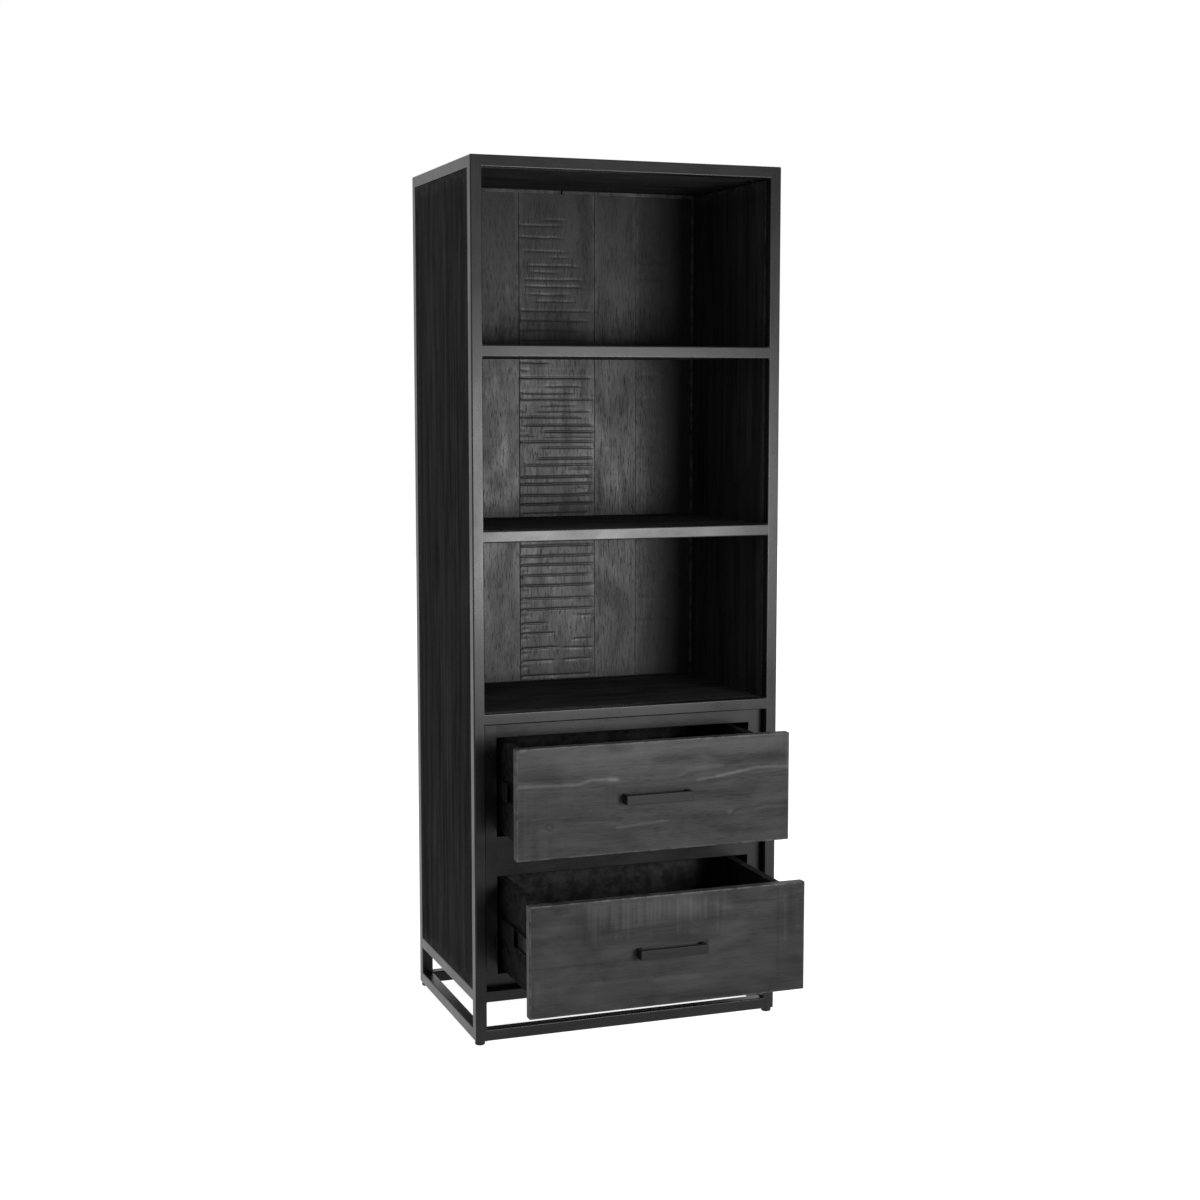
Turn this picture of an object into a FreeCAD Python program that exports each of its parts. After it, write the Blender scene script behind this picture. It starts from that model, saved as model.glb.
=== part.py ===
import FreeCAD, Part
import os

# Tall bookcase: a welded square-tube frame, solid wood panels and shelves set into it,
# and two drawers on ball-bearing runners at the bottom.
# Millimetres. +X is to the right, +Y to the back, +Z up, and Z = 0 is the floor.
# The origin is on the floor, in the middle of the whole thing with its drawers as far open as drawn here.

# ---- overall ----
width = 700.0
depth = 470.0
frame_height = 1870.0
tube = 25.0
tube_wall = 1.5
tube_corner = 2.5
fit = 0.5

# ---- feet ----
foot_height = 9.0
foot_radius = 11.0
foot_round = 3.0
foot_stem = 14.0
stem_clearance = 0.2

# ---- levels ----
base_gap = 60.0
bay_height = 361.5
shelf_count = 2

# ---- wood ----
side_thickness = 22.0
side_recess = 2.0
back_thickness = 18.0
back_recess = 15.0
back_board_widths = (216.5, 185.5, 102.5)
board_thickness = 21.0
board_drop = 1.0
shelf_gap = 4.0
board_edge = 1.5
batten = 7.0
ceiling_batten_height = 8.0
ceiling_batten_depth = 10.0
batten_split = 0.49
batten_notch = 4.0

# ---- fixings of the case ----
tab_length = 24.0
tab_width = 15.0
tab_thickness = 3.0
tab_inset = 70.0
dowel_radius = 4.0
dowel_in_side = 12.0
dowel_in_shelf = 20.0
dowel_clearance = 0.1
dowels_per_end = 3
screw_radius = 2.0
screw_length = 40.0
screw_head_radius = 4.0
screw_head_height = 2.2
screw_inset = 26.0
screw_clearance = 0.05

# ---- steel face frame round the two drawer openings ----
face_recess = 24.0
face_thickness = 20.0
face_corner = 1.5
face_side = 32.5
face_top = 32.0
face_middle = 88.0
face_bottom = 29.5
liner_thickness = 18.0
liner_step = 1.8
liner_batten_width = 20.0
liner_batten_inset = 30.0

# ---- drawers ----
open_lower = 243.5
open_upper = 160.5
front_thickness = 21.0
front_gap = 1.5
front_overlap_side = 14.5
front_overlap_low_lower = 19.5
front_overlap_low_upper = 13.5
front_overlap_total = 21.0
front_edge = 1.5
box_length = 400.0
box_clear_low = 3.0
box_clear_top = 11.0
box_side = 18.0
box_front = 15.0
box_back = 16.0
box_edge = 1.2
bottom_thickness = 9.0
bottom_lift = 10.0
groove_depth = 6.0
groove_clearance = 0.3

# ---- runners: three nested channels on each side of a drawer ----
runner_height = 45.0
runner_thickness = 12.7
runner_sheet = 1.2
runner_step = 1.6
runner_case_depth = 9.0
runner_middle_start = 3.4
runner_middle_end = 11.0
runner_drawer_start = 5.4
runner_length = 350.0
runner_front_inset = 6.0
runner_screw_radius = 1.8
runner_screw_length = 11.0
runner_screw_head_radius = 3.6
runner_screw_head_height = 1.6
runner_screw_inset = 37.0

# ---- handles ----
handle_length = 150.0
handle_height = 20.0
handle_bar = 10.0
handle_projection = 27.0
handle_round = 1.2
handle_screw_radius = 2.0
handle_screw_depth = 12.0
front_screw_radius = 2.0
front_screw_depth = 12.0
front_screw_inset_x = 60.0
front_screw_inset_z = 40.0
drawer_head_radius = 4.5
drawer_head_height = 2.2

# ---- places worked out from the sizes ----
front_setback = face_recess - front_gap - front_thickness
reach = open_lower - front_setback + handle_projection
front_y = (reach - depth) / 2
back_y = front_y + depth
half = width / 2
inner_x = half - tube
side_inner_x = half - side_recess - side_thickness
leg_z = foot_height
base_upper_z = leg_z + tube + base_gap
zone_z = base_upper_z + tube
top_rail_z = leg_z + frame_height - tube
frame_top_z = leg_z + frame_height
pitch = bay_height + tube
shelf_rail_z = [top_rail_z - (i + 1) * pitch for i in range(shelf_count)]
drawer_rail_z = top_rail_z - (shelf_count + 1) * pitch
back_board_front_y = back_y - back_recess - back_thickness
back_board_back_y = back_y - back_recess
face_front_y = front_y + face_recess
face_back_y = face_front_y + face_thickness
opening_x = inner_x - face_side
opening_height = (drawer_rail_z - zone_z - face_top - face_middle - face_bottom) / 2
lower_opening_z = zone_z + face_bottom
upper_opening_z = lower_opening_z + opening_height + face_middle
liner_x = opening_x - liner_step
box_x = liner_x - runner_thickness
box_height = opening_height - box_clear_low - box_clear_top
closed_front_back_y = face_front_y - front_gap

SOLIDS = {}


def keep(name, *shapes):
    """Note the solids of one node."""
    SOLIDS.setdefault(name, []).extend(shapes)


def block(x0, x1, y0, y1, z0, z1):
    """A box between two corners."""
    return Part.makeBox(x1 - x0, y1 - y0, z1 - z0, FreeCAD.Vector(x0, y0, z0))


def edges_along(shape, axis):
    """The straight edges of a shape that run along one axis."""
    found = []
    for edge in shape.Edges:
        a = edge.Vertexes[0].Point
        b = edge.Vertexes[-1].Point
        run = [abs(b.x - a.x), abs(b.y - a.y), abs(b.z - a.z)]
        if run["xyz".index(axis)] > 1e-6 and sum(run) - run["xyz".index(axis)] < 1e-6:
            found.append(edge)
    return found


def rod(radius, length, start, direction):
    """A round bar from a point along a direction."""
    return Part.makeCylinder(radius, length, FreeCAD.Vector(*start), FreeCAD.Vector(*direction))


def square_tube(x0, x1, y0, y1, z0, z1, axis, corner=tube_corner):
    """A hollow square tube with rounded corners and open ends."""
    outer = block(x0, x1, y0, y1, z0, z1)
    outer = outer.makeFillet(corner, edges_along(outer, axis))
    w = tube_wall
    sx = 0.0 if axis == "x" else w
    sy = 0.0 if axis == "y" else w
    sz = 0.0 if axis == "z" else w
    return outer.cut(block(x0 + sx, x1 - sx, y0 + sy, y1 - sy, z0 + sz, z1 - sz))


def post(x0, y0):
    """An upright tube: closed on top, open at the bottom for the foot's stem."""
    outer = block(x0, x0 + tube, y0, y0 + tube, leg_z, frame_top_z)
    outer = outer.makeFillet(tube_corner, edges_along(outer, "z"))
    w = tube_wall
    core = block(x0 + w, x0 + tube - w, y0 + w, y0 + tube - w, leg_z, frame_top_z - w)
    return outer.cut(core)


def eased_board(x0, x1, y0, y1, z0, z1, axis, radius):
    """A board whose four long edges along one axis are eased."""
    board = block(x0, x1, y0, y1, z0, z1)
    return board.makeFillet(radius, edges_along(board, axis))


def cut_all(shape, tools):
    """Cut a list of tools from a shape."""
    for tool in tools:
        shape = shape.cut(tool)
    return shape


# ================= welded steel frame =================
def build_frame():
    x_left = -half
    x_right = half - tube
    y_back = back_y - tube
    keep("post_front_left", post(x_left, front_y))
    keep("post_front_right", post(x_right, front_y))
    keep("post_back_left", post(x_left, y_back))
    keep("post_back_right", post(x_right, y_back))
    for name, z in (("top", top_rail_z), ("base_upper", base_upper_z), ("base_lower", leg_z)):
        for side, y in (("front", front_y), ("back", y_back)):
            rail = square_tube(-inner_x, inner_x, y, y + tube, z, z + tube, "x")
            keep(name + "_rail_" + side, rail)
        for x in (x_left, x_right):
            rail = square_tube(x, x + tube, front_y + tube, y_back, z, z + tube, "y")
            keep(name + "_rail_sides", rail)
    for name, z in zip(("shelf_rail_upper", "shelf_rail_lower"), shelf_rail_z):
        keep(name, square_tube(-inner_x, inner_x, front_y, front_y + tube, z, z + tube, "x"))
    z = drawer_rail_z
    keep("drawer_rail", square_tube(-inner_x, inner_x, front_y, front_y + tube, z, z + tube, "x"))


def build_feet():
    stem = tube - 2 * tube_wall - 2 * stem_clearance
    for x in (-half + tube / 2, half - tube / 2):
        for y in (front_y + tube / 2, back_y - tube / 2):
            pad = rod(foot_radius, foot_height, (x, y, 0), (0, 0, 1))
            rim = [e for e in pad.Edges if e.Length > foot_radius * 6 and e.CenterOfMass.z < foot_round]
            pad = pad.makeFillet(foot_round, rim)
            plug = block(x - stem / 2, x + stem / 2, y - stem / 2, y + stem / 2, leg_z, leg_z + foot_stem)
            keep("feet", pad.fuse(plug).removeSplitter())


def build_board_tabs():
    """Small steel tabs, welded to the side rails, that carry the top and the bottom board."""
    for board_z in (top_board_z(), bottom_board_z()):
        for side in (-1, 1):
            for y in (front_y + tab_inset, back_y - tab_inset - tab_length):
                x0 = side * inner_x
                x1 = side * (inner_x - tab_width)
                low, high = min(x0, x1), max(x0, x1)
                keep("board_tabs", block(low, high, y, y + tab_length, board_z - tab_thickness, board_z))


# ================= wood case =================
def top_board_z():
    return frame_top_z - board_drop - board_thickness


def bottom_board_z():
    return zone_z - board_thickness


def shelf_levels():
    """The underside of every board that hangs between the side panels, from the top down."""
    return [z + tube - board_drop - board_thickness for z in shelf_rail_z + [drawer_rail_z]]


def dowel_places(z):
    """Start points of the dowels at both ends of one shelf."""
    y0 = front_y + tube + shelf_gap
    step = (back_board_front_y - y0) / dowels_per_end
    middle = z + board_thickness / 2
    return [(side, y0 + step * (i + 0.5), middle) for side in (-1, 1) for i in range(dowels_per_end)]


def dowel(side, y, z, clearance=0.0):
    length = dowel_in_side + dowel_in_shelf
    start = side * (side_inner_x + dowel_in_side + clearance)
    return rod(dowel_radius + clearance, length + 2 * clearance, (start, y, z), (-side, 0, 0))


def build_side_panels():
    y0 = front_y + tube + fit
    y1 = back_y - tube - fit
    for name, side in (("side_panel_left", -1), ("side_panel_right", 1)):
        xs = sorted((side * (half - side_recess), side * side_inner_x))
        panel = block(xs[0], xs[1], y0, y1, zone_z, top_rail_z - fit)
        holes = []
        for z in shelf_levels():
            holes += [dowel(s, y, h, dowel_clearance) for s, y, h in dowel_places(z) if s == side]
        keep(name, cut_all(panel, holes))


def build_shelves():
    names = ("shelf_upper", "shelf_lower", "drawer_bay_top")
    y0 = front_y + tube + shelf_gap
    y1 = back_board_front_y - fit
    x = side_inner_x - fit
    for name, z in zip(names, shelf_levels()):
        board = eased_board(-x, x, y0, y1, z, z + board_thickness, "x", board_edge)
        holes = [dowel(s, y, h, dowel_clearance) for s, y, h in dowel_places(z)]
        holes += [back_screw(sx, z + board_thickness / 2, screw_clearance) for sx in back_screw_xs()]
        keep(name, cut_all(board, holes))
        keep("shelf_dowels", *[dowel(s, y, h) for s, y, h in dowel_places(z)])
    for name, z in (("top_board", top_board_z()), ("bottom_board", bottom_board_z())):
        x = inner_x - fit
        y0, y1 = front_y + tube + fit, back_y - tube - fit
        keep(name, eased_board(-x, x, y0, y1, z, z + board_thickness, "x", board_edge))


def back_board_spans():
    """Left and right edge of every back board."""
    left = -inner_x + fit
    right = inner_x - fit
    spans = []
    for board_width in back_board_widths:
        spans.append((left, left + board_width))
        left += board_width + fit
    spans.append((left, right))
    return spans


def back_screw_levels():
    return [z + board_thickness / 2 for z in shelf_levels()]


def back_screw_xs():
    return [x for a, b in back_board_spans() for x in (a + screw_inset, b - screw_inset)]


def back_screw(x, z, clearance=0.0):
    """A countersunk wood screw driven from behind through a back board into a shelf."""
    y = back_board_back_y
    tip = rod(screw_radius + clearance, screw_length + clearance, (x, y, z), (0, -1, 0))
    head = Part.makeCone(
        screw_radius + clearance,
        screw_head_radius + clearance,
        screw_head_height,
        FreeCAD.Vector(x, y - screw_head_height, z),
        FreeCAD.Vector(0, 1, 0),
    )
    return tip.fuse(head)


def build_back():
    z0 = zone_z
    z1 = top_rail_z - fit
    for number, (a, b) in enumerate(back_board_spans(), 1):
        board = block(a, b, back_board_front_y, back_board_back_y, z0, z1)
        xs = (a + screw_inset, b - screw_inset)
        holes = [back_screw(x, z, screw_clearance) for x in xs for z in back_screw_levels()]
        keep("back_board_%d" % number, cut_all(board, holes))
    screws = [back_screw(x, z) for x in back_screw_xs() for z in back_screw_levels()]
    keep("back_screws", *screws)


def build_back_battens():
    """Thin strips that cover the joints of the back with the side panels and with the top board."""
    y0 = back_board_front_y - batten
    y1 = back_board_front_y
    levels = shelf_levels()
    bottoms = [z + board_thickness for z in levels]
    tops = [top_board_z() - ceiling_batten_height] + levels[:-1]
    for z0, z1 in zip(bottoms, tops):
        for side in (-1, 1):
            xs = sorted((side * side_inner_x, side * (side_inner_x - batten)))
            keep("back_battens", block(xs[0], xs[1], y0, y1, z0, z1))
    split = -inner_x + batten_split * 2 * inner_x
    y0 = back_board_front_y - ceiling_batten_depth
    z1 = top_board_z()
    z0 = z1 - ceiling_batten_height
    keep("back_battens", block(-inner_x + fit, split - batten_notch / 2, y0, y1, z0, z1))
    keep("back_battens", block(split + batten_notch / 2, inner_x - fit, y0, y1, z0, z1))


# ================= drawer case =================
def build_face_frame():
    """Flat rectangular tube welded behind the posts: two stiles with three rails between them."""
    y0, y1 = face_front_y, face_back_y
    z1 = drawer_rail_z
    for side in (-1, 1):
        xs = sorted((side * inner_x, side * opening_x))
        keep("face_frame_stiles", square_tube(xs[0], xs[1], y0, y1, zone_z, z1, "z", face_corner))
    rails = (
        ("face_frame_bottom", zone_z, lower_opening_z),
        ("face_frame_middle", lower_opening_z + opening_height, upper_opening_z),
        ("face_frame_top", upper_opening_z + opening_height, z1),
    )
    for name, low, high in rails:
        keep(name, square_tube(-opening_x, opening_x, y0, y1, low, high, "x", face_corner))


def opening_z(drawer):
    return {"lower": lower_opening_z, "upper": upper_opening_z}[drawer]


def runner_z(drawer):
    """Middle height of the runners of one drawer."""
    return opening_z(drawer) + box_clear_low + box_height / 2


def runner_screws(side, u, z, y0, direction, clearance=0.0):
    """The low round-head screws along one runner member; u counts from the case wall."""
    x = side * (liner_x - u)
    screws = []
    for y in (y0 + runner_screw_inset, y0 + runner_length - runner_screw_inset):
        shank = rod(runner_screw_radius + clearance, runner_screw_length + clearance,
                    (x, y, z), (direction * side, 0, 0))
        head = rod(runner_screw_head_radius, runner_screw_head_height, (x, y, z), (-direction * side, 0, 0))
        screws.append(shank.fuse(head).removeSplitter())
    return screws


def build_case_liners():
    """Upright panels behind the face frame, on two spacing battens, that carry the runners."""
    y0 = face_back_y
    y1 = back_board_front_y - fit
    top = shelf_levels()[-1]
    runner_y = face_back_y + runner_front_inset
    for name, side in (("case_liner_left", -1), ("case_liner_right", 1)):
        xs = sorted((side * liner_x, side * (liner_x + liner_thickness)))
        panel = block(xs[0], xs[1], y0, y1, zone_z, top)
        for drawer in ("lower", "upper"):
            z = runner_z(drawer)
            panel = cut_all(panel, runner_screws(side, runner_sheet, z, runner_y, 1, screw_clearance))
            keep("case_runner_screws", *runner_screws(side, runner_sheet, z, runner_y, 1))
        xb = sorted((side * (liner_x + liner_thickness), side * side_inner_x))
        low_y = y0 + liner_batten_inset
        high_y = y1 - liner_batten_inset - liner_batten_width
        battens = [block(xb[0], xb[1], y, y + liner_batten_width, zone_z, top) for y in (low_y, high_y)]
        keep(name, panel, *battens)


def channel(side, u0, u1, web_u, half_height, y0, z):
    """A C channel along Y. u counts from the case wall towards the drawer."""
    s = runner_sheet
    y1 = y0 + runner_length

    def plate(ua, ub, za, zb):
        xs = sorted((side * (liner_x - ua), side * (liner_x - ub)))
        return block(xs[0], xs[1], y0, y1, z + za, z + zb)

    web = plate(web_u, web_u + s, -half_height, half_height)
    upper = plate(u0, u1, half_height - s, half_height)
    lower = plate(u0, u1, -half_height, -half_height + s)
    return web.fuse(upper).fuse(lower).removeSplitter()


def build_runners():
    """Case, middle and drawer member; the middle one travels half as far as the drawer."""
    h = runner_height / 2
    s = runner_sheet
    case_y = face_back_y + runner_front_inset
    for drawer, pull in (("lower", open_lower), ("upper", open_upper)):
        z = runner_z(drawer)
        for side in (-1, 1):
            case = channel(side, 0.0, runner_case_depth, 0.0, h, case_y, z)
            case = cut_all(case, runner_screws(side, s, z, case_y, 1, screw_clearance))
            middle = channel(side, runner_middle_start, runner_middle_end, runner_middle_start,
                             h - runner_step, case_y - pull / 2, z)
            web_u = runner_thickness - s
            slide = channel(side, runner_drawer_start, runner_thickness, web_u,
                            h - 2 * runner_step, case_y - pull, z)
            slide = cut_all(slide, runner_screws(side, web_u, z, case_y - pull, -1, screw_clearance))
            keep("runner_case_" + drawer, case)
            keep("runner_middle_" + drawer, middle)
            keep("runner_drawer_" + drawer, slide)


# ================= drawers =================
def pan_screw(x, y, z, length, clearance=0.0):
    """A pan-head screw driven towards the front from inside a drawer; the head stands proud at y."""
    shank = rod(front_screw_radius + clearance, length + clearance, (x, y, z), (0, -1, 0))
    head = rod(drawer_head_radius, drawer_head_height, (x, y, z), (0, 1, 0))
    return shank.fuse(head).removeSplitter()


def handle(x0, y_face, z):
    """A U of flat bar: a straight grip on two square legs."""
    x1 = x0 + handle_length
    y0 = y_face - handle_projection
    outer = block(x0, x1, y0, y_face, z - handle_height / 2, z + handle_height / 2)
    gap = block(x0 + handle_bar, x1 - handle_bar, y0 + handle_bar, y_face,
                z - handle_height / 2, z + handle_height / 2)
    bar = outer.cut(gap)
    rims = [e for e in bar.Edges if abs(e.CenterOfMass.y - y0) < 1e-6]
    return bar.makeFillet(handle_round, rims)


def build_drawer(drawer, pull, overlap_low):
    prefix = drawer + "_drawer_"
    low = opening_z(drawer)
    y_back = closed_front_back_y - pull
    y_face = y_back - front_thickness
    y_end = y_back + box_length
    z0 = low + box_clear_low
    z1 = z0 + box_height
    front_z = low - overlap_low
    front_height = opening_height + front_overlap_total
    front_x = opening_x + front_overlap_side
    middle_z = front_z + front_height / 2
    inner = box_x - box_side
    screw_y = y_back + box_front
    grip = screw_y - y_face + handle_screw_depth
    hold = box_front + front_screw_depth

    # the front, its screws and the handle
    board = block(-front_x, front_x, y_face, y_back, front_z, front_z + front_height)
    rims = [e for e in board.Edges if abs(e.CenterOfMass.y - y_face) < 1e-6]
    board = board.makeFillet(front_edge, rims)
    grip_xs = [side * (handle_length / 2 - handle_bar / 2) for side in (-1, 1)]
    places = [(x, middle_z, grip) for x in grip_xs]
    for x in (-inner + front_screw_inset_x, inner - front_screw_inset_x):
        places += [(x, z, hold) for z in (z0 + front_screw_inset_z, z1 - front_screw_inset_z)]
    holes = [pan_screw(x, screw_y, z, length, screw_clearance) for x, z, length in places]
    keep(prefix + "screws", *[pan_screw(x, screw_y, z, length) for x, z, length in places])
    keep(prefix + "front", cut_all(board, holes))
    keep(prefix + "handle", cut_all(handle(-handle_length / 2, y_face, middle_z), holes))

    # the box
    c = groove_clearance
    groove_z = z0 + bottom_lift
    slot = block(-inner - groove_depth - c, inner + groove_depth + c,
                 y_back + box_front - groove_depth - c, y_end - box_back + groove_depth + c,
                 groove_z, groove_z + bottom_thickness + c)
    wall = eased_board(-inner, inner, y_back, y_back + box_front, z0, z1, "x", box_edge)
    keep(prefix + "box_front", cut_all(wall, holes + [slot]))
    wall = eased_board(-inner, inner, y_end - box_back, y_end, z0, z1, "x", box_edge)
    keep(prefix + "back", wall.cut(slot))
    runner_y = face_back_y + runner_front_inset - pull
    web_u = runner_thickness - runner_sheet
    for side in (-1, 1):
        xs = sorted((side * box_x, side * inner))
        wall = eased_board(xs[0], xs[1], y_back, y_end, z0, z1, "y", box_edge)
        fixings = runner_screws(side, web_u, runner_z(drawer), runner_y, -1, screw_clearance)
        keep(prefix + "sides", cut_all(wall.cut(slot), fixings))
        keep(prefix + "screws", *runner_screws(side, web_u, runner_z(drawer), runner_y, -1))
    keep(prefix + "bottom", block(-inner - groove_depth, inner + groove_depth,
                                  y_back + box_front - groove_depth, y_end - box_back + groove_depth,
                                  groove_z, groove_z + bottom_thickness))


for build in (build_frame, build_feet, build_board_tabs, build_side_panels, build_shelves):
    build()
for build in (build_back, build_back_battens, build_face_frame, build_case_liners, build_runners):
    build()
build_drawer("lower", open_lower, front_overlap_low_lower)
build_drawer("upper", open_upper, front_overlap_low_upper)

os.makedirs("parts", exist_ok=True)
for name, shapes in SOLIDS.items():
    shape = shapes[0] if len(shapes) == 1 else Part.makeCompound(shapes)
    shape.exportStep("parts/%s.step" % name)
print(len(SOLIDS), "nodes")
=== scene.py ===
import math

import bpy
import numpy as np
from bpy.props import FloatProperty, FloatVectorProperty, PointerProperty
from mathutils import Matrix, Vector


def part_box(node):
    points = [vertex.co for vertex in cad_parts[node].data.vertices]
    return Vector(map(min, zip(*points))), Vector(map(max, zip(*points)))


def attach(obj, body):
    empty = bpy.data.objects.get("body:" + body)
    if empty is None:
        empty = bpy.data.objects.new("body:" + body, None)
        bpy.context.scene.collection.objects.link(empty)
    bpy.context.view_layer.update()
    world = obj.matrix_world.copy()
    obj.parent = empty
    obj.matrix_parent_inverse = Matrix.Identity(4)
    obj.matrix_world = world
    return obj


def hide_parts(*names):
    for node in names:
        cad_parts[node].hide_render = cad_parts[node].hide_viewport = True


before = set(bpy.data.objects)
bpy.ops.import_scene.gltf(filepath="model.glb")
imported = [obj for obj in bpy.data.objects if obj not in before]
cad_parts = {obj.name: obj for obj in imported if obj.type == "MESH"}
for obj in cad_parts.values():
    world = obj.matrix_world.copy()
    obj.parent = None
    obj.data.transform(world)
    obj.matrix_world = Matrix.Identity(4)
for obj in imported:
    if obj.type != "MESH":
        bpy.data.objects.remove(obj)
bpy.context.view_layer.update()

bl_info = {
    "name": "Steel and Wood Bookcase",
    "version": (1, 0, 0),
    "blender": (4, 5, 0),
    "location": "3D View > Sidebar > Bookcase",
    "description": "Dresses a welded tube bookcase with stained planks, drawers and fittings",
    "category": "Object",
}

CASE = "case"
DRAWERS = ("upper", "lower")
UNIT = {"X": (1.0, 0.0, 0.0), "Y": (0.0, 1.0, 0.0), "Z": (0.0, 0.0, 1.0)}
BLACK = (0.0015, 0.0015, 0.0015, 1.0)
RIM = 4          # grid lines from a board's edge to the start of its flat

# Grooves that the mill left across the second plank of the back: height, left end, right end (mm), depth share, which
# also scales each groove's painted shade and highlight.
PLANK_GROOVES = (
    (1790, -45, 0, .25), (1777, -106, -8, .3), (1750, -106, -8, .35), (1718, -92, -6, .3), (1705, -30, 5, .3),
    (1686, -80, 30, .4), (1671, -70, -20, .35), (1654, -92, 40, .4), (1638, -86, 42, .5), (1620, -80, 5, .35),
    (1604, -60, 20, .35), (1582, -106, 60, .5), (1561, -106, 50, .6), (1538, -106, 40, .5), (1512, -106, 30, .5),
    (1464, -106, -40, .6), (1428, -106, 60, .8), (1409, -40, 45, .5), (1393, -106, 20, .6), (1379, -106, 76, .7),
    (1365, -50, 20, .5), (1351, -65, 60, .6), (1337, -106, 40, .8), (1318, -95, 72, .9), (1303, -45, 76, 1.),
    (1295, -106, -72, .6), (1292, -45, 70, .5), (1280, -106, 76, .8), (1266, -52, 70, .7), (1241, -60, 70, .9),
    (1225, -95, 76, .8), (1217, 20, 76, .6), (1198, -106, 70, 1.), (1181, -106, 76, 1.), (1172, 20, 60, .5),
    (1155, -106, 70, .9), (1134, -106, 76, 1.), (1111, -106, 60, .5), (1062, -106, 40, .6), (1036, -106, 76, .9),
    (1012, -106, 76, .9), (991, -106, 76, 1.), (966, -106, 60, .9), (942, -106, 76, 1.), (911, -106, 76, .8),
    (886, -106, 70, .9), (868, 40, 70, .5), (853, -106, -47, .9), (829, -106, -30, .8), (812, 30, 62, .5),
    (794, -106, -20, .9), (791, 0, 70, .5), (763, -106, -32, .7), (764, 0, 60, .5), (728, -106, 60, .8),
    (640, -106, 50, .6), (560, -106, 70, .7), (470, -106, 30, .7), (380, -106, 66, .6), (300, -106, 10, .7),
    (220, -106, 60, .6))
# Nicks in that plank's left edge, by height (mm).
PLANK_NICKS = (1446, 1384, 1352, 1308, 1002, 975, 960, 930, 900, 872, 840, 818, 782, 750, 716)

# Marks in the wood, with painted shade and highlight. Each is (path, width, height, tone): the path and width in mm,
# the height in tenths of a mm, and the tone from -1, black, to 1, rubbed pale. Where a mark has height, its tone
# paints that relief's light: painted shade in hollows, cracks and nicks, and pale ridges that are partly rubbed wear
# and partly painted highlight.
BACK_MARKS = {
    1: ((((-165, 1268), (-152, 1242), (-140, 1222), (-120, 1205)), 12, 0, .22),
        (((-137, 1634), (-128, 1608), (-126, 1590)), 5, 0, .4),
        (((-180, 930), (-130, 925)), 16, 0, .2), (((-215, 1300), (-205, 1150)), 20, 0, -.15)),
    2: ((((-109, 1282), (-97, 1270), (-82, 1261), (-65, 1251)), 3, -6, -.5),
        (((-30, 1457), (-8, 1457)), 13, 0, .3), (((-75, 1262), (-70, 1240)), 12, 0, .15),
        (((20, 1210), (72, 1210)), 5, 0, .2), (((-60, 955), (40, 950)), 7, 0, .15)),
    3: ((((106, 1196), (122, 1207), (142, 1218), (162, 1232), (182, 1243)), 3, -6, -.5),
        (((95, 1270), (118, 1250), (120, 1215)), 16, 0, .22), (((124, 1306), (154, 1306)), 3, -3, -.35),
        (((124, 1273), (152, 1273)), 3, -2, -.25), (((130, 1242), (156, 1242)), 3, -2, -.25),
        (((150, 1208), (110, 1185)), 8, 0, .15), (((88, 1112), (96, 1113)), 3, -6, -.7)),
    4: ((((182, 1243), (205, 1254)), 3, -6, -.45),) + tuple(
        (((184, z), (225 + 20 * (z % 3), z)), 3, -3, -.4)
        for z in (1432, 1377, 1321, 1265, 1209, 1148, 985, 955, 905, 848, 1700, 1660)),
}
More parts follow.
